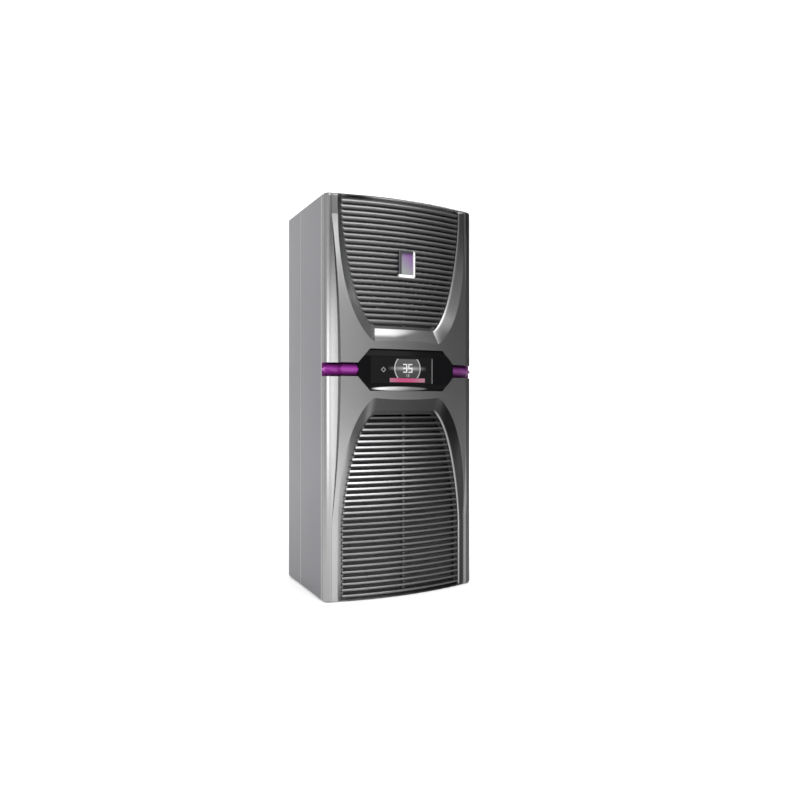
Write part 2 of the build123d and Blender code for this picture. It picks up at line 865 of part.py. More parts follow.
with BuildPart() as terminal_cover:
    with BuildSketch(Plane.XZ.offset(back_plate_station - terminal_depth)):
        with Locations((terminal_x, terminal_z)):
            RectangleRounded(terminal_width, terminal_height, edge_radius)
    extrude(amount=terminal_depth)
keep(terminal_cover.part, "terminal_cover")
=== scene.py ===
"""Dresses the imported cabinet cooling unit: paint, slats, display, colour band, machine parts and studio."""

import math

import bmesh
import bpy
from bpy.props import FloatProperty, FloatVectorProperty, PointerProperty
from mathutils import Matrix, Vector


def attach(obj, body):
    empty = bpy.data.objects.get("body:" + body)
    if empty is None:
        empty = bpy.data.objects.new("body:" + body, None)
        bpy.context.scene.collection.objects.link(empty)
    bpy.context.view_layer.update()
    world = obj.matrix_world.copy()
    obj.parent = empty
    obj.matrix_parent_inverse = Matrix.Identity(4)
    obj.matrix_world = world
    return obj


bl_info = {
    "name": "Cabinet cooling unit",
    "version": (1, 0, 0),
    "blender": (4, 5, 0),
    "location": "View3D > Sidebar > Cooling unit",
    "description": "Dresses the cooling unit's frame with its finishes, fine parts and studio",
    "category": "Object",
}

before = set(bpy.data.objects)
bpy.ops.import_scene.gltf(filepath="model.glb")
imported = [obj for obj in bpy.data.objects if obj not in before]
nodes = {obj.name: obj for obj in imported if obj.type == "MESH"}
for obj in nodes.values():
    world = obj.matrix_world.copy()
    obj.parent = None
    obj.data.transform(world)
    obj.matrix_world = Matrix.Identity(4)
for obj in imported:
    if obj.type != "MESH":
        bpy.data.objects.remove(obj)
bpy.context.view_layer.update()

BLACK = (0.0, 0.0, 0.0)
WHITE = (1.0, 1.0, 1.0)

# Skin of the paints: its depth in metres and its strength
SKIN = (0.00006, 0.35)
COVER_SKIN = (0.00004, 0.25)
BLOTCH = 0.05

# Places on the unit, in metres: X to the right, Y to the back, Z up
WAIST = 0.540
GRILLE_SPLIT = 0.5
BOW_AXIS = 0.557155
SLAT_RADIUS = 0.696155

# Front cover, where its painted light and shade change and where its violet lining lies
GROOVE_HALF = 0.0155
GROOVE_INNER = 0.112
LINING_INNER = 0.186
STEP_WALL_SIDE = (0.160, 0.1935)
STRIP_INNER = 0.1985
OPENING_HALF = 0.15
LIP_DEPTH = 0.0022
FLANK_TOP = 0.9435
RIM_LOW = 0.9415
RIM_ACROSS = (-0.085, 0.16)
LINE_ACROSS = (0.1725, 0.1805)
LEFT_EDGE = -0.184
RIGHT_EDGE = 0.181
GLINT = 0.095
FOLD_LOW = 0.9468
CURL_EDGE = 0.621

# Front cover: its level of painted light, and how much of it the parts lose to painted shade or gain as
# painted highlights
COVER_LEVEL = 0.87
LEFT_LOSS = 0.2
RIGHT_LOSS = 0.25
CORNER_LOSS = 0.35
FALL_LOSS = 0.6
GROOVE_LOSS = 0.97
STEP_WALL_LOSS = 0.8
STRIP_LOSS = 0.35
UNDER_LOSS = 0.82
FOLD_LOSS = 0.7
SHOULDER_LOSS = 0.74
CURL_LOSS = 0.78
TIP_LOSS = 0.72
RIM_GAIN = 0.85
LINE_GAIN = 0.16
LIP_GAIN = 0.12
LOWER_LIP_GAIN = 0.13

# Slats: the lightest painted tone, the depth of the lips that carry painted highlights, and the depth of the
# painted shade behind the slats
SLAT_PEAK = 3.5
SLAT_LIP = -0.0012
SLAT_SHADE = -0.005

# Housing: the two seams across the side, which carry painted highlights, and the fold along the top, which
# carries painted shade
FRONT_SEAM = -0.1000
BACK_SEAM = 0.0520
HOUSING_FOLD = 0.9462

# Badge: the inner edges of the lit sides of its frame, and the middle of its plate
BADGE_RIGHT = 0.0178
BADGE_LOW = 0.7695
PLATE_MIDDLE = (0.002, 0.769)

# Display: middles across and up, and half sizes
DIAL = (-0.002, 0.544)
DIAL_RADIUS = 0.034
WINDOW_HALF = 0.0225
BAR = (-0.002, 0.516)
BAR_HALF = (0.047, 0.0048)
SYMBOL = (-0.065, 0.5405)
EDGE_LINE = (0.0655, 0.5385)
# The lens-shaped painted reflection in the frame's lower bevel
LENS_REFLECTION = (-0.0195, 0.4958)
LENS_REFLECTION_HALF = (0.0745, 0.0052)

# Figures of the dial, in seven strokes: each stroke's place as shares of half the width and height
STROKES = {
    "a": (0, 1),
    "b": (0.5, 0.5),
    "c": (0.5, -0.5),
    "d": (0, -1),
    "e": (-0.5, -0.5),
    "f": (-0.5, 0.5),
    "g": (0, 0),
}
FIGURES = {"3": "abcdg", "5": "acdfg", "1": "bc", "8": "abcdefg"}
FIGURE_WIDTH = 0.52
# Rows of figures: middle, height and stroke
BIG_ROW = (0.5445, 0.021, 0.0026)
SMALL_ROW = (0.5275, 0.007, 0.0009)

# Band: half its painted height, and half its crest, which carries a painted highlight
BAND_HALF = 0.0122
CREST_HALF = 0.006

# Coils: half width of the fin rows, and each row's face, foot and head
COIL_HALF = 0.190
CONDENSER_ROW = (-0.088, 0.012, 0.416)
EVAPORATOR_ROW = (0.136, 0.074, 0.306)

# Screws: the face that they stand on, and their heads' heights
PLATE_FACE = 0.151
LID_FACE = 0.154
PLATE_HEAD = 0.0024
GUARD_HEAD = 0.0020
LID_HEAD = 0.0009

# Studio: the sweep's reach and bend
SWEEP_FRONT = -9.0
SWEEP_HALF = 12.0
SWEEP_TOP = 9.0
BEND_START = 3.0
BEND_RADIUS = 2.0
BEND_STEPS = 12
ROOM_LIMIT = 1.15


# Shader writing


class Num:
    """A shader value that can be used in Python arithmetic."""

    def __init__(self, shade, socket):
        self.shade = shade
        self.socket = socket

    def math(self, operation, first, second=0.0):
        return self.shade.node("ShaderNodeMath", {"operation": operation}, {0: first, 1: second}).out()

    def __add__(self, other):
        return self.math("ADD", self, other)

    __radd__ = __add__

    def __sub__(self, other):
        return self.math("SUBTRACT", self, other)

    def __rsub__(self, other):
        return self.math("SUBTRACT", other, self)

    def __mul__(self, other):
        return self.math("MULTIPLY", self, other)

    __rmul__ = __mul__

    def __truediv__(self, other):
        return self.math("DIVIDE", self, other)

    def __abs__(self):
        return self.math("ABSOLUTE", self)

    def root(self):
        return self.math("SQRT", self)

    def least(self, other):
        return self.math("MINIMUM", self, other)

    def most(self, other):
        return self.math("MAXIMUM", self, other)

    def below(self, limit, soft=0.0):
        """One where the value is under the limit, fading to nought over a soft edge."""
        if not soft:
            return self.math("LESS_THAN", self, limit)
        return self.shade.node(
            "ShaderNodeMapRange",
            {"interpolation_type": "SMOOTHSTEP"},
            {"Value": self, "From Min": limit - soft, "From Max": limit + soft, "To Min": 1.0, "To Max": 0.0},
        ).out()

    def over(self, limit, soft=0.0):
        """One where the value is over the limit."""
        return 1 - self.below(limit, soft)

    def within(self, low, high, soft, high_soft=None):
        """One where the value lies between two limits."""
        return self.over(low, soft) * self.below(high, soft if high_soft is None else high_soft)

    def choose(self, inside, outside):
        """The first value where this mask is one, and the second where it is nought."""
        return outside * (1 - self) + inside * self


def rgba(colour):
    """A colour as a socket takes it."""
    return colour if isinstance(colour, Num) else (*colour, 1)


class Made:
    """A node that has been placed, with its outputs at hand."""

    def __init__(self, shade, node):
        self.shade = shade
        self.node = node

    def out(self, name=0):
        return Num(self.shade, self.node.outputs[name])


class Tree:
    """A node tree under construction."""

    def node(self, kind, settings=None, values=None):
        """Places one node: its settings first, then the values or links of its sockets."""
        node = self.tree.nodes.new(kind)
        for name, value in (settings or {}).items():
            setattr(node, name, value)
        for key, value in (values or {}).items():
            if isinstance(value, Num):
                self.tree.links.new(value.socket, node.inputs[key])
            else:
                node.inputs[key].default_value = value
        return Made(self, node)

    def close(self, made):
        """Links a node's first output to the tree's end."""
        self.tree.links.new(made.node.outputs[0], self.end.inputs[0])


class Recipe(Tree):
    """Geometry nodes with named inputs."""

    def __init__(self, name, inputs):
        self.tree = bpy.data.node_groups.new(name, "GeometryNodeTree")
        face = self.tree.interface
        self.keys = {}
        for label, kind in inputs.items():
            socket = face.new_socket(label, in_out="INPUT", socket_type="NodeSocket" + kind)
            self.keys[label] = socket.identifier
        face.new_socket("Geometry", in_out="OUTPUT", socket_type="NodeSocketGeometry")
        self.given = Made(self, self.tree.nodes.new("NodeGroupInput"))
        self.end = self.tree.nodes.new("NodeGroupOutput")

    def along_line(self, piece, turn=(0.0, 0.0, 0.0)):
        """Ends the recipe in copies of a piece along a line, made real and given their material."""
        given = self.given.out
        line = self.node(
            "GeometryNodeMeshLine",
            {"mode": "OFFSET"},
            {"Count": given("Count"), "Start Location": given("Start"), "Offset": given("Step")},
        )
        values = {"Points": line.out(), "Instance": piece, "Rotation": turn}
        copies = self.node("GeometryNodeInstanceOnPoints", None, values)
        real = self.node("GeometryNodeRealizeInstances", None, {"Geometry": copies.out()})
        values = {"Geometry": real.out(), "Material": given("Material")}
        self.close(self.node("GeometryNodeSetMaterial", None, values))

    def mesh(self, values):
        """The recipe's result with these inputs, as a plain mesh."""
        holder = bpy.data.objects.new("holder", bpy.data.meshes.new("holder"))
        bpy.context.scene.collection.objects.link(holder)
        modifier = holder.modifiers.new("recipe", "NODES")
        modifier.node_group = self.tree
        for label, value in values.items():
            modifier[self.keys[label]] = value
        ready = holder.evaluated_get(bpy.context.evaluated_depsgraph_get())
        mesh = bpy.data.meshes.new_from_object(ready)
        bpy.data.objects.remove(holder)
        return mesh


class Shade(Tree):
    """A material under construction."""

    def __init__(self, name):
        self.material = bpy.data.materials.new(name)
        self.material.use_nodes = True
        self.begin(self.material.node_tree, "ShaderNodeOutputMaterial")

    @classmethod
    def of_world(cls, world):
        """The same tools on a world."""
        shade = cls.__new__(cls)
        shade.begin(world.node_tree, "ShaderNodeOutputWorld")
        return shade

    def begin(self, tree, end):
        """Empties the tree down to its end."""
        self.tree = tree
        tree.nodes.clear()
        self.end = tree.nodes.new(end)
        self.places = {}

    def axes(self, vector):
        """A vector's three parts, by axis."""
        parts = self.node("ShaderNodeSeparateXYZ", None, {0: vector})
        return {"X": parts.out(0), "Y": parts.out(1), "Z": parts.out(2)}

    def place(self, axis):
        """One of the piece's own coordinates, in metres."""
        if not self.places:
            point = self.node("ShaderNodeTexCoord").out("Object")
            self.places = {**self.axes(point), "all": point}
        return self.places[axis]

    def facing(self):
        """The surface's own direction, by axis."""
        return self.axes(self.node("ShaderNodeTexCoord").out("Normal"))

    def noise(self, scale, detail=2.0):
        values = {"Vector": self.place("all"), "Scale": scale, "Detail": detail}
        return self.node("ShaderNodeTexNoise", None, values).out(0)

    def grains(self, broad, narrow):
        """A wide noise for the colour and a narrow one for the skin."""
        return self.noise(broad, 3.0), self.noise(narrow)

    def mix(self, factor, first, second):
        """A colour between two colours."""
        values = {0: factor, 6: rgba(first), 7: rgba(second)}
        return self.node("ShaderNodeMix", {"data_type": "RGBA"}, values).out(2)

    def bump(self, height, distance, strength=1.0):
        values = {"Height": height, "Distance": distance, "Strength": strength}
        return self.node("ShaderNodeBump", None, values).out(0)

    def surface(self, **sockets):
        """Ends the material in one glossy surface with these sockets."""
        values = {}
        for key, value in sockets.items():
            name = key.replace("_", " ")
            values[name] = rgba(value) if name.endswith("Color") else value
        self.close(self.node("ShaderNodeBsdfPrincipled", None, values))
        return self.material


def uneven(level, *grains):
    """A level that wavers with each noise by its share."""
    for grain, share in grains:
        level = level + (grain - 0.5) * share
    return level


def scaled(colour, factor):
    return tuple(part * factor for part in colour)


def painted(name, colour, roughness):
    """Satin paint with a fine skin and a faint unevenness."""
    shade = Shade(name)
    wide, fine = shade.grains(7.0, 1500.0)
    return shade.surface(
        Base_Color=shade.mix(wide, scaled(colour, 1 - BLOTCH), scaled(colour, 1 + BLOTCH)),
        Roughness=uneven(roughness, (wide, 0.08), (fine, 0.06)),
        Normal=shade.bump(fine, *SKIN),
    )


# Mesh helpers


def give(obj, material):
    obj.data.materials.clear()
    obj.data.materials.append(material)


def wear(material, *names):
    """Gives frame pieces their finish."""
    for name in names:
        give(nodes[name], material)


def shown(name, mesh, material):
    """Links a finished piece, its place in its mesh, and lets it ride with the unit."""
    obj = bpy.data.objects.new(name, mesh)
    bpy.context.scene.collection.objects.link(obj)
    give(obj, material)
    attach(obj, "root")


def joined(name, meshes):
    """Several plain meshes as one."""
    mesh = bpy.data.meshes.new(name)
    bm = bmesh.new()
    for part in meshes:
        bm.from_mesh(part)
    bm.to_mesh(mesh)
    bm.free()
    return mesh


class UnitFinish(bpy.types.PropertyGroup):
    """Colours of the unit."""

    cover_colour: FloatVectorProperty(
        name="Cover colour",
        description="Paint of the front cover",
        subtype="COLOR",
        default=(0.45, 0.45, 0.45),
    )
    housing_colour: FloatVectorProperty(
        name="Housing colour",
        description="Paint of the sheet housing",
        subtype="COLOR",
        default=(0.122, 0.121, 0.134),
    )
    grille_colour: FloatVectorProperty(
        name="Grille colour",
        description="Plastic of the louvre slats",
        subtype="COLOR",
        default=(0.27, 0.27, 0.275),
    )
    band_colour: FloatVectorProperty(
        name="Band colour",
        description="Coloured band at the waist",
        subtype="COLOR",
        default=(0.27, 0.03, 0.28),
    )
    bar_colour: FloatVectorProperty(
        name="Bar colour",
        description="Lit bar on the display",
        subtype="COLOR",
        default=(0.58, 0.09, 0.22),
    )


class MachineFinish(bpy.types.PropertyGroup):
    """Sizes of the fine parts."""

    fin_pitch: FloatProperty(
        name="Fin pitch",
        description="Distance between the coil fins",
        default=0.0022,
        unit="LENGTH",
        min=0.001,
    )
    fin_reach: FloatProperty(
        name="Fin reach",
        description="How far the fin edges stand out of a coil",
        default=0.003,
        unit="LENGTH",
    )
    screw_radius: FloatProperty(
        name="Screw radius",
        description="Head radius of the back screws",
        default=0.004,
        unit="LENGTH",
    )


class StudioSettings(bpy.types.PropertyGroup):
    """Camera and lights."""

    eye: FloatVectorProperty(
        name="Eye",
        description="Where the camera stands",
        subtype="TRANSLATION",
        default=(-0.746, -1.600, 0.469),
    )
    heading: FloatProperty(
        name="Heading",
        description="Turn of the camera from straight ahead",
        subtype="ANGLE",
        default=math.radians(-26.6),
    )
    lens: FloatProperty(name="Lens", description="Focal length in millimetres", default=30.65)
    side_light: FloatProperty(name="Side light", description="Brightness of the left softbox", default=3.2)
    top_light: FloatProperty(name="Top light", description="Brightness of the overhead softbox", default=4.8)
    back_light: FloatProperty(name="Back light", description="Brightness of the backdrop's box", default=1.9)
    room_light: FloatProperty(name="Room light", description="Strength of the even light", default=0.70)
    room_fall: FloatProperty(name="Room fall", description="Loss of even light to the right", default=0.50)
    floor_glow: FloatProperty(name="Floor glow", description="Own light of the backdrop", default=0.45)


def slat_depth_ahead(shade):
    """How far a point lies ahead of the bowed surface that the slats share."""
    x = shade.place("X")
    surface = (SLAT_RADIUS**2 - x * x).root() - BOW_AXIS
    return 0 - shade.place("Y") - surface


class CoverMarks:
    """Masks of the front cover: each is one on its part and nought elsewhere."""

    def __init__(self, shade):
        self.x = shade.place("X")
        self.z = shade.place("Z")
        self.side = abs(self.x)
        self.face = shade.facing()
        self.sideways = abs(self.face["X"])
        # The groove around the band, which takes painted shade; at its ends it holds the violet lining
        self.groove = abs(self.z - WAIST).below(GROOVE_HALF, 0.0006) * self.side.over(GROOVE_INNER, 0.002)
        self.lining = self.groove * self.side.over(LINING_INNER, 0.004)
        # The step walls beside the raised panel, which take painted shade
        self.step_wall = self.sideways.over(0.86, 0.06) * self.side.within(*STEP_WALL_SIDE, 0.001)
        self.lip = slat_depth_ahead(shade).below(LIP_DEPTH, 0.0012)
        self.inward = self.face["X"].below(-0.24, 0.12) * self.x.over(0.05, 0.02) * (1 - self.step_wall)

    def under(self):
        """Surfaces that look down, which take painted shade, less of it in a painted glint on each side of
        the lower scoop.
        """
        glint = abs(self.side - GLINT).below(0.006, 0.013)
        return self.face["Z"].below(-0.15, 0.12) * self.side.below(OPENING_HALF, 0.01) * (1 - glint * 0.4)

    def flank(self):
        """Right flanks of the openings, with painted shade that is deepest at the foot of the upper one and
        faint at its top.
        """
        z = self.z
        share = 0.7 - z.over(0.72, 0.12) * 0.6 + z.below(0.62, 0.04) * z.over(0.5) * 0.14
        return self.inward * (1 - self.lip) * z.below(FLANK_TOP, 0.0005) * share

    def fold(self):
        """The rounded edge along the top, which takes painted shade."""
        return self.z.over(FOLD_LOW, 0.0012) * self.face["Z"].below(0.995, 0.003)

    def shoulder(self):
        """The slopes beside the upper opening, which take painted shade."""
        slope = self.sideways.over(0.2, 0.08) * self.side.within(0.135, 0.188, 0.01, 0.004)
        return self.z.over(0.78, 0.12) * slope

    def scoop(self):
        """Floor of the upper scoop, which takes painted shade."""
        return self.face["Z"].over(0.25, 0.1) * self.side.below(OPENING_HALF, 0.01) * self.z.below(0.8, 0.01)

    def curl(self, scoop):
        """The part of the scoop that rolls out of the light, rising to the right, which takes painted shade.
        """
        rising = self.z - (self.x + 0.03).most(0.0) * 0.2
        left = self.x.below(0.03, 0.05) * self.face["X"].below(0.15, 0.05)
        return scoop * self.z.over(0.58) * rising.below(CURL_EDGE, 0.006) * left

    def tip(self):
        """Foot of the upper opening's right flank, which takes painted shade."""
        turn = self.face["Z"].over(0.1, 0.1) * self.face["X"].below(-0.05, 0.05)
        return turn * self.x.over(0.08, 0.012) * self.z.over(0.56) * self.z.below(0.64, 0.03)

    def tone(self):
        """The painted light that is left when each part has lost its share to painted shade: groove, step
        walls, side strips, down-facing surfaces, flanks, fold, shoulders, scoop and its curl, the flank's
        foot, left and right edges, lower right, and a fall towards the right.
        """
        x, z = self.x, self.z
        scoop = self.scoop()
        # Each pair is a part and its share of painted shade; the scoop's share turns to a faint painted
        # lightening at its right
        losses = (
            (self.groove, GROOVE_LOSS),
            (self.step_wall, STEP_WALL_LOSS),
            (self.sideways.over(0.97, 0.02) * self.side.over(STRIP_INNER, 0.0005), STRIP_LOSS),
            (self.under(), UNDER_LOSS),
            (self.flank(), 1.0),
            (self.fold(), FOLD_LOSS),
            (self.shoulder(), SHOULDER_LOSS),
            (scoop, 0.25 - x.over(0.05, 0.05) * 0.3),
            (x.over(RIGHT_EDGE, 0.002), RIGHT_LOSS),
            (self.curl(scoop), CURL_LOSS),
            (self.tip(), TIP_LOSS),
            (z.below(0.35, 0.25) * x.over(0.08, 0.08), CORNER_LOSS),
            (x.over(-0.03, 0.17), FALL_LOSS),
        )
        left = COVER_LEVEL - x.below(LEFT_EDGE, 0.004) * LEFT_LOSS
        for mask, share in losses:
            left = left * (1 - mask * share)
        return left

    def bright(self):
        """Painted highlights on the edges: the rim along the top, the line at the right and the lips of the
        openings.
        """
        rim = self.z.within(RIM_LOW, FOLD_LOW, 0.0008, 0.0010) * self.x.within(*RIM_ACROSS, 0.03)
        line = self.x.within(*LINE_ACROSS, 0.001)
        lips = self.inward * self.lip * (LIP_GAIN + self.z.below(GRILLE_SPLIT) * LOWER_LIP_GAIN)
        return rim * RIM_GAIN + line * LINE_GAIN + lips


def cover_paint(colour):
    """Metallic satin paint with painted shade over its parts and step walls, painted highlights on its edges
    and a violet lining at the band's ends.
    """
    shade = Shade("cover_paint")
    wide, fine = shade.grains(7.0, 2600.0)
    marks = CoverMarks(shade)
    # Painted light and shade over the cover, with a faint random waver
    paint = shade.mix(marks.tone() * (0.97 + wide * 0.06), BLACK, colour)
    # Painted highlights on the top rim, the right line and the lips of the openings
    highlighted = shade.mix(marks.bright(), paint, (0.90, 0.90, 0.90))
    return shade.surface(
        Base_Color=shade.mix(marks.lining, highlighted, (0.20, 0.03, 0.20)),
        Roughness=uneven(0.24, (wide, 0.05), (fine, 0.04)),
        Metallic=0.94,
        Normal=shade.bump(fine, *COVER_SKIN),
    )


def slat_paint(colour):
    """Satin plastic of the slats, with painted highlights on the front lips, painted light that falls off to
    the right, and painted shade behind the upper slats and on the top rows of the lower ones.
    """
    shade = Shade("grille_plastic")
    wide, fine = shade.grains(9.0, 2200.0)
    x = shade.place("X")
    z = shade.place("Z")
    ahead = slat_depth_ahead(shade)
    # Painted light that falls off to the right
    right = x.over(0.0, 0.16)
    lower = z.below(GRILLE_SPLIT)
    # Painted highlight on the lips of the lower grille's middle rows, at the left
    lit = abs(z - 0.32).below(0.09, 0.06) * x.below(-0.05, 0.15)
    edge = lower.choose(0.75 - right * 0.42 + lit * 3.1, 1.2 - right * 0.7)
    body = lower.choose(0.86 - right * 0.5, 1.8 - right * 1.15)
    # Painted shade behind the upper slats
    deep = ahead.below(SLAT_SHADE, 0.002) * (1 - lower)
    tone = ahead.over(SLAT_LIP, 0.0006).choose(edge, body * (1 - deep * 0.65))
    # Painted shade on the top rows of the lower grille, under the scoop
    tone = tone * (1 - lower * z.over(0.405, 0.02) * 0.6) * (0.95 + wide * 0.1)
    return shade.surface(
        Base_Color=shade.mix(tone / SLAT_PEAK, BLACK, scaled(colour, SLAT_PEAK)),
        Roughness=uneven(0.3, (wide, 0.08), (fine, 0.06)),
        Metallic=0.7,
        Normal=shade.bump(fine, *SKIN),
    )


def housing_paint(colour):
    """Satin paint of the folded sheet, with painted highlights along the seams and painted shade on the fold
    along the top.
    """
    shade = Shade("housing_paint")
    wide, fine = shade.grains(6.0, 1500.0)
    y = shade.place("Y")
    # Painted highlights along the two seams
    seam_highlight = abs(y - FRONT_SEAM).below(0.0020, 0.0005).most(abs(y - BACK_SEAM).below(0.0022, 0.0005))
    fold = shade.place("Z").over(HOUSING_FOLD, 0.0012) * shade.facing()["Z"].below(0.995, 0.003)
    paint = shade.mix((1 - fold * 0.55) * (0.96 + wide * 0.08), BLACK, colour)
    return shade.surface(
        Base_Color=shade.mix(seam_highlight * 0.6, paint, (0.42, 0.42, 0.42)),
        Roughness=uneven(0.34, (wide, 0.06), (fine, 0.05)),
        Metallic=0.75,
        Normal=shade.bump(fine, *SKIN),
    )


class PaintCover(bpy.types.Operator):
    """Paints the front cover."""

    bl_idname = "unit.paint_cover"
    bl_label = "Paint cover"

    def execute(self, context):
        wear(cover_paint(tuple(context.scene.unit_finish.cover_colour)), "front_fascia")
        return {"FINISHED"}


class PaintHousing(bpy.types.Operator):
    """Paints the sheet housing and its back plate, and blackens the gasket."""

    bl_idname = "unit.paint_housing"
    bl_label = "Paint housing"

    def execute(self, context):
        colour = tuple(context.scene.unit_finish.housing_colour)
        wear(housing_paint(colour), "hood", "rear_housing")
        wear(painted("back_paint", colour, 0.48), "back_plate")
        seal = Shade("seal_foam")
        skin = seal.bump(seal.noise(1800.0), 0.0003)
        wear(seal.surface(Base_Color=(0.02, 0.02, 0.02), Roughness=0.9, Normal=skin), "rear_gasket")
        return {"FINISHED"}


class DressGrilles(bpy.types.Operator):
    """Colours the louvre grilles."""

    bl_idname = "unit.dress_grilles"
    bl_label = "Dress grilles"

    def execute(self, context):
        wear(slat_paint(tuple(context.scene.unit_finish.grille_colour)), "upper_grille", "lower_grille")
        return {"FINISHED"}


class DressBadge(bpy.types.Operator):
    """Finishes the chrome frame on the upper slats, with painted highlights on its right and lower sides, and
    its bare plate.
    """

    bl_idname = "unit.dress_badge"
    bl_label = "Dress badge"

    def execute(self, context):
        chrome = Shade("bright_trim")
        # Painted highlights on the frame's right and lower sides
        lit = chrome.place("X").over(BADGE_RIGHT, 0.0006).most(chrome.place("Z").below(BADGE_LOW, 0.0006))
        trim = chrome.surface(
            Base_Color=chrome.mix(lit, (0.14, 0.14, 0.15), (0.98, 0.98, 0.98)),
            Metallic=1 - lit * 0.6,
            Roughness=0.14 + chrome.noise(300.0) * 0.05,
        )
        wear(trim, "badge_frame")
        plate = Shade("badge_face")
        middle_x, middle_z = PLATE_MIDDLE
        slope = (plate.place("Z") - middle_z) / 0.052 + (plate.place("X") - middle_x) / 0.06
        bare = plate.surface(
            Base_Color=plate.mix(slope.most(0.0).least(1.0), (0.27, 0.30, 0.29), (0.20, 0.10, 0.26)),
            Metallic=0.4,
            Roughness=0.3 + plate.noise(600.0) * 0.06,
        )
        wear(bare, "badge_plate")
        return {"FINISHED"}


def figure(shade, digit, middle_x, middle_z, high, stroke):
    """One figure of the dial drawn in its strokes."""
    wide = high * FIGURE_WIDTH
    drawn = None
    for name in FIGURES[digit]:
        across, up = STROKES[name]
        dx = abs(shade.place("X") - (middle_x + across * (wide - stroke)))
        dz = abs(shade.place("Z") - (middle_z + up * (high - stroke) / 2))
        half_x, half_z = (wide / 2, stroke / 2) if across == 0 else (stroke / 2, high / 4)
        bar = dx.below(half_x, 0.0002) * dz.below(half_z, 0.0002)
        drawn = bar if drawn is None else drawn.most(bar)
    return drawn


def off(shade, middle):
    """How far a point lies from a middle, to the right and up."""
    return shade.place("X") - middle[0], shade.place("Z") - middle[1]


def display_light(shade):
    """Light of the glass: dial rims, figures, the glow across, the edge line and the plain symbol."""
    x, z = off(shade, DIAL)
    reach = (x * x + z * z).root()
    window = abs(z).below(WINDOW_HALF, 0.0006)
    rim = abs(reach - DIAL_RADIUS).below(0.0012, 0.0006) * window * abs(x).over(0.012, 0.004)
    inside = reach.below(DIAL_RADIUS, 0.0006) * window * (0.06 + (z + WINDOW_HALF).most(0.0) * 1.2)
    glow = (1 - abs(z) / 0.006).most(0.0) * (1 - abs(x) / 0.052).most(0.0)
    big = figure(shade, "3", -0.0085, *BIG_ROW).most(figure(shade, "5", 0.0055, *BIG_ROW))
    small = figure(shade, "1", -0.006, *SMALL_ROW).most(figure(shade, "8", 0.0005, *SMALL_ROW))
    x, z = off(shade, EDGE_LINE)
    line = abs(x).below(0.0006, 0.0004) * abs(z).below(0.030, 0.003)
    x, z = off(shade, SYMBOL)
    symbol = (abs(x) + abs(z)).within(0.0042, 0.0065, 0.0005)
    return rim * 0.55 + inside + big * 0.85 + small * 0.5 + glow * 0.5 + line * 0.45 + symbol * 0.4


class DressDisplay(bpy.types.Operator):
    """Finishes the display and draws its dial, figures, bar and plain symbol."""

    bl_idname = "unit.dress_display"
    bl_label = "Dress display"

    def execute(self, context):
        self.frame_round()
        pane = Shade("display_pane")
        x, z = off(pane, BAR)
        bar = abs(x).below(BAR_HALF[0], 0.0008) * abs(z).below(BAR_HALF[1], 0.0006)
        pale = abs(pane.place("X") + 0.008).over(0.03, 0.02) * 0.6
        pink = pane.mix(pale, tuple(context.scene.unit_finish.bar_colour), (0.42, 0.3, 0.34))
        white = pane.mix(display_light(pane).least(1.0), BLACK, WHITE)
        glass = pane.surface(
            Base_Color=(0.003, 0.003, 0.0035),
            Roughness=0.1 + pane.noise(250.0) * 0.04,
            Specular_IOR_Level=0.25,
            Emission_Color=pane.mix(bar, white, pink),
            Emission_Strength=0.9,
        )
        wear(glass, "display_glass")
        return {"FINISHED"}

    def frame_round(self):
        """Black frame with a painted reflection in its lower bevel, lens-shaped and lightest at the left."""
        black = Shade("display_black")
        x, z = off(black, LENS_REFLECTION)
        across, up = x / LENS_REFLECTION_HALF[0], z / LENS_REFLECTION_HALF[1]
        # A lens-shaped painted reflection on the lower bevel, lightest at the left
        lens = (across * across + up * up).below(0.85, 0.25) * black.facing()["Z"].below(-0.2, 0.1)
        lens = lens * (0.18 + black.place("X").below(-0.03, 0.055) * 0.72)
        finish = black.surface(
            Base_Color=black.mix(lens, (0.004, 0.004, 0.0045), (0.8, 0.8, 0.8)),
            Metallic=lens,
            Roughness=0.16 + black.noise(400.0) * 0.05,
            Specular_IOR_Level=0.035,
        )
        wear(finish, "display_housing")


class DressBand(bpy.types.Operator):
    """Colours the band at the waist, with a painted highlight along its crest, painted shade towards its
    right end, and a faint glow that follows them, which is painted light too.
    """

    bl_idname = "unit.dress_band"
    bl_label = "Dress band"

    def execute(self, context):
        colour = tuple(context.scene.unit_finish.band_colour)
        band = Shade("accent")
        deep = band.noise(60.0, 3.0)
        height = abs(band.place("Z") - WAIST)
        right = band.place("X").over(0.1)
        crest = height.below(BAND_HALF, 0.0008) * (0.4 + height.below(CREST_HALF, 0.006) * 0.6)
        # The painted highlight along the crest and painted shade towards the right; the glow below follows
        # them as painted light
        tone = crest * (0.88 + deep * 0.12) * (1 - right * 0.62)
        paint = band.surface(
            Base_Color=band.mix(tone, scaled(colour, 0.06), colour),
            Metallic=0.3,
            Roughness=0.2 + deep * 0.06 + right * 0.25,
            Emission_Color=band.mix(tone, BLACK, scaled(colour, 0.5)),
            Emission_Strength=0.5,
        )
        wear(paint, "accent_band_left", "accent_band_right")
        return {"FINISHED"}


def bare_metal(name, colour, scale):
    """Plain metal whose gloss wavers a little."""
    shade = Shade(name)
    return shade.surface(Base_Color=colour, Metallic=1.0, Roughness=0.3 + shade.noise(scale) * 0.1)


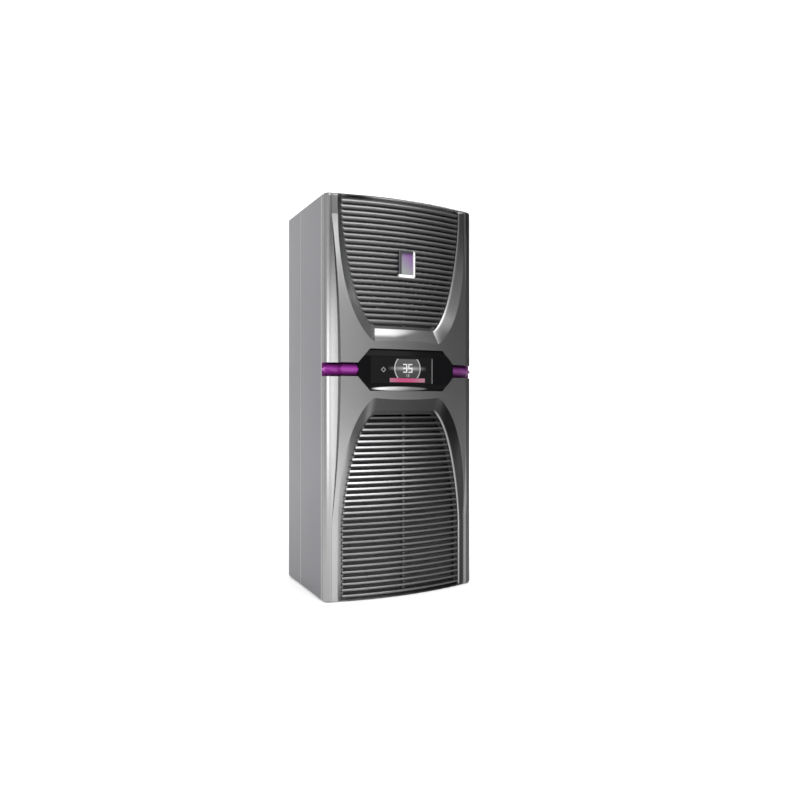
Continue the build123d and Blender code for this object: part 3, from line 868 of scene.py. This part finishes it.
class DressMachine(bpy.types.Operator):
    """Finishes the fans, coils and plates behind the openings, and adds fin edges and screws."""

    bl_idname = "unit.dress_machine"
    bl_label = "Dress machine"

    def execute(self, context):
        dark = painted("inner_metal", (0.03, 0.03, 0.031), 0.5)
        wear(dark, "partition_plate", "exhaust_fan_plate", "exhaust_fan_mount", "intake_fan_shroud")
        black = painted("fan_plastic", (0.02, 0.02, 0.021), 0.45)
        wear(black, "exhaust_fan", "intake_fan", "air_outlet_grille", "drain_socket", "terminal_cover")
        wear(bare_metal("guard_wire", (0.25, 0.25, 0.26), 300.0), "exhaust_fan_guard", "intake_fan_guard")
        zinc = bare_metal("fixing_steel", (0.5, 0.5, 0.5), 500.0)
        wear(zinc, "mounting_bushes", "lifting_bushes")
        metal = self.fin_metal()
        wear(metal, "condenser_coil", "evaporator_coil")
        look = context.scene.unit_machine
        shown("coil_fin_edges", self.fins(look.fin_pitch, look.fin_reach, metal), metal)
        shown("plate_screws", self.screws(look.screw_radius, zinc), zinc)
        return {"FINISHED"}

    def fin_metal(self):
        """Pale metal of the coils, darker towards the top."""
        fin = Shade("coil_fins")
        grain = fin.noise(200.0)
        tone = (0.8 + grain * 0.4) * (0.35 + fin.place("Z").below(0.24, 0.16) * 0.65)
        return fin.surface(
            Base_Color=fin.mix(tone, BLACK, (0.24, 0.24, 0.245)), Metallic=0.2, Roughness=0.45 + grain * 0.1
        )

    def fins(self, pitch, reach, metal):
        """Edges of the fins that stand out of both coils."""
        kinds = {"Start": "Vector", "Step": "Vector", "Count": "Int"}
        kinds |= {"Size": "Vector", "Material": "Material"}
        recipe = Recipe("fin_row", kinds)
        recipe.along_line(recipe.node("GeometryNodeMeshCube", None, {"Size": recipe.given.out("Size")}).out())
        rows = []
        for out, (face, foot, head) in ((-1, CONDENSER_ROW), (1, EVAPORATOR_ROW)):
            values = {
                "Start": (-COIL_HALF, face + out * reach / 2, (foot + head) / 2),
                "Step": (pitch, 0.0, 0.0),
                "Count": int(2 * COIL_HALF / pitch) + 1,
                "Size": (pitch * 0.25, reach, head - foot),
                "Material": metal,
            }
            rows.append(recipe.mesh(values))
        return joined("coil_fin_edges", rows)

    def screws(self, radius, steel):
        """Socket-head screws of the back plate, the intake guard and the terminal cover."""
        up = (0.0, 0.0, 0.1433)
        rows = [((x, PLATE_FACE, z), up, 3, 1.0, PLATE_HEAD) for x in (-0.176, 0.176) for z in (0.115, 0.545)]
        rows += [((-0.100, PLATE_FACE, z), (0.100, 0.0, 0.0), 3, 1.0, PLATE_HEAD) for z in (0.932, 0.018)]
        rows += [((-0.075, PLATE_FACE, z), (0.150, 0.0, 0.0), 2, 0.9, GUARD_HEAD) for z in (0.705, 0.855)]
        rows += [((-0.158, LID_FACE, 0.430), (0.076, 0.0, 0.0), 2, 0.8, LID_HEAD)]
        recipe = self.screw_row()
        meshes = []
        for start, step, count, size, high in rows:
            values = {"Start": start, "Step": step, "Count": count}
            values |= {"Radius": radius * size, "Height": high, "Material": steel}
            meshes.append(recipe.mesh(values))
        return joined("plate_screws", meshes)

    def screw_row(self):
        """A row of heads, each a cone with a six-sided socket cut into its top."""
        kinds = {"Start": "Vector", "Step": "Vector", "Count": "Int"}
        kinds |= {"Radius": "Float", "Height": "Float", "Material": "Material"}
        recipe = Recipe("screw_row", kinds)
        radius = recipe.given.out("Radius")
        height = recipe.given.out("Height")
        values = {"Vertices": 24, "Radius Top": radius * 0.78, "Radius Bottom": radius, "Depth": height}
        head = recipe.node("GeometryNodeMeshCone", None, values).out()
        values = {"Vertices": 6, "Radius": radius * 0.46, "Depth": height}
        key = recipe.node("GeometryNodeMeshCylinder", None, values).out()
        lift = recipe.node("ShaderNodeCombineXYZ", None, {2: height}).out()
        key = recipe.node("GeometryNodeTransform", None, {"Geometry": key, "Translation": lift}).out()
        values = {"Mesh 1": head, "Mesh 2": key}
        cut = recipe.node("GeometryNodeMeshBoolean", {"operation": "DIFFERENCE"}, values).out()
        recipe.along_line(cut, (math.radians(-90), 0.0, 0.0))
        return recipe


class BuildStudio(bpy.types.Operator):
    """Sets the backdrop, the lights, the camera and a view transform that keeps white white."""

    bl_idname = "unit.build_studio"
    bl_label = "Build studio"

    def execute(self, context):
        look = context.scene.unit_studio
        self.sweep(look.floor_glow)
        self.softbox("side_box", (-1.62, -2.60, 0.50), (0.0, -0.1, 0.5), (2.2, 1.1), look.side_light)
        self.softbox("top_box", (0.20, -1.35, 2.10), (0.0, -0.1, 0.6), (1.6, 1.5), look.top_light)
        self.softbox("back_box", (0.0, 2.2, 3.2), (0.0, 3.4, 0.0), (5.0, 2.0), look.back_light)
        context.scene.world = self.room(look.room_light, look.room_fall)
        data = bpy.data.cameras.new("camera")
        data.lens = look.lens
        data.sensor_width = 36.0
        data.clip_start = 0.05
        data.clip_end = 60.0
        camera = bpy.data.objects.new("camera", data)
        camera.location = look.eye
        camera.rotation_euler = (math.radians(90), 0, look.heading)
        context.scene.collection.objects.link(camera)
        context.scene.camera = camera
        context.scene.view_settings.view_transform = "Standard"
        return {"FINISHED"}

    def room(self, level, fall):
        """Even light from all round that falls off towards the right."""
        world = bpy.data.worlds.new("room")
        world.use_nodes = True
        shade = Shade.of_world(world)
        way = shade.axes(shade.node("ShaderNodeTexCoord").out("Generated"))
        strength = (level - way["X"] * fall).least(level * ROOM_LIMIT)
        shade.close(shade.node("ShaderNodeBackground", None, {0: rgba(WHITE), 1: strength}))
        return world

    def sweep(self, glow):
        """Pale floor that curves up behind the unit, where it glows more."""
        shade = Shade("sweep")
        back = shade.place("Y").over(1.0, 2.0)
        pale = shade.surface(
            Base_Color=(0.88, 0.88, 0.88),
            Roughness=0.85,
            Emission_Color=shade.mix(back, (0.4, 0.4, 0.4), WHITE),
            Emission_Strength=glow,
        )
        turns = [step * math.pi / 2 / BEND_STEPS for step in range(1, BEND_STEPS + 1)]
        bend = [
            (BEND_START + BEND_RADIUS * math.sin(turn), BEND_RADIUS - BEND_RADIUS * math.cos(turn))
            for turn in turns
        ]
        outline = [(SWEEP_FRONT, 0.0), (BEND_START, 0.0), *bend, (BEND_START + BEND_RADIUS, SWEEP_TOP)]
        bm = bmesh.new()
        rows = [[bm.verts.new((x, y, z)) for x in (-SWEEP_HALF, SWEEP_HALF)] for y, z in outline]
        for low, high in zip(rows, rows[1:]):
            bm.faces.new((low[0], low[1], high[1], high[0]))
        mesh = bpy.data.meshes.new("sweep")
        bm.to_mesh(mesh)
        bm.free()
        mesh.shade_smooth()
        floor = bpy.data.objects.new("sweep", mesh)
        give(floor, pale)
        bpy.context.scene.collection.objects.link(floor)

    def softbox(self, name, place, aim, size, brightness):
        """Oblong light of one brightness, whatever its size."""
        data = bpy.data.lights.new(name, "AREA")
        data.shape = "RECTANGLE"
        data.size, data.size_y = size
        data.energy = brightness * math.pi * size[0] * size[1]
        lamp = bpy.data.objects.new(name, data)
        lamp.location = place
        lamp.rotation_euler = (Vector(aim) - Vector(place)).to_track_quat("-Z", "Y").to_euler()
        bpy.context.scene.collection.objects.link(lamp)


class UnitPanel(bpy.types.Panel):
    """Settings and steps in the sidebar."""

    bl_idname = "VIEW3D_PT_cooling_unit"
    bl_label = "Cooling unit"
    bl_space_type = "VIEW_3D"
    bl_region_type = "UI"
    bl_category = "Cooling unit"

    def draw(self, context):
        for group in (context.scene.unit_finish, context.scene.unit_machine, context.scene.unit_studio):
            for name in group.__annotations__:
                self.layout.prop(group, name)
        for step in STEPS:
            self.layout.operator(step.bl_idname)


STEPS = (
    PaintCover,
    PaintHousing,
    DressGrilles,
    DressBadge,
    DressDisplay,
    DressBand,
    DressMachine,
    BuildStudio,
)
GROUPS = (UnitFinish, MachineFinish, StudioSettings)


def register():
    for cls in (*GROUPS, *STEPS, UnitPanel):
        bpy.utils.register_class(cls)
    bpy.types.Scene.unit_finish = PointerProperty(type=UnitFinish)
    bpy.types.Scene.unit_machine = PointerProperty(type=MachineFinish)
    bpy.types.Scene.unit_studio = PointerProperty(type=StudioSettings)


def unregister():
    for name in ("unit_finish", "unit_machine", "unit_studio"):
        delattr(bpy.types.Scene, name)
    for cls in (UnitPanel, *STEPS, *GROUPS):
        bpy.utils.unregister_class(cls)


def main():
    register()
    bpy.ops.unit.paint_cover()
    bpy.ops.unit.paint_housing()
    bpy.ops.unit.dress_grilles()
    bpy.ops.unit.dress_badge()
    bpy.ops.unit.dress_display()
    bpy.ops.unit.dress_band()
    bpy.ops.unit.dress_machine()
    bpy.ops.unit.build_studio()


if __name__ == "__main__":
    main()
